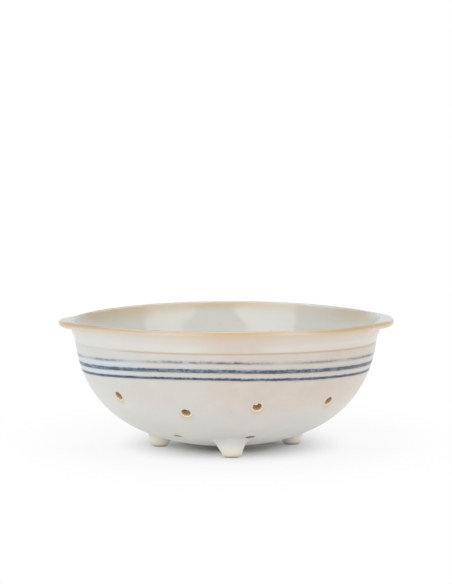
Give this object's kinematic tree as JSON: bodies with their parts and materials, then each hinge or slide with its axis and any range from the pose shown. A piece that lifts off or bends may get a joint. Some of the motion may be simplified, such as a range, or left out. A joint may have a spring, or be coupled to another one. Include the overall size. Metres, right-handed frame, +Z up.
{
  "type": "ceramic colander",
  "caption": "Round footed stoneware colander: a glazed bowl with drain holes, a flared lip with flat lug handles, short oval feet and slip bands, for rinsing and draining food.",
  "frame": {"origin": "on the table, in the middle between the tips of the handles, under the bowl's axis", "axes": "+Z up along the bowl's axis, +X towards the right handle, -Y towards the front, where one foot stands nearly on the middle line"},
  "size_m": [0.2539, 0.2384, 0.1017],
  "materials": {
    "glaze": "pale satin glaze over stoneware",
    "toasted_glaze": "glaze burnt amber where it runs thin over stoneware",
    "cobalt_slip": "cobalt slip under glaze"
  },
  "bodies": {
    "root": {"bowl": "glaze", "upper_band": "cobalt_slip", "middle_band": "cobalt_slip", "lower_band": "cobalt_slip", "left_handle": "toasted_glaze", "right_handle": "toasted_glaze", "front_foot": "glaze", "right_foot": "glaze", "left_foot": "glaze"}
  },
  "joints": []
}
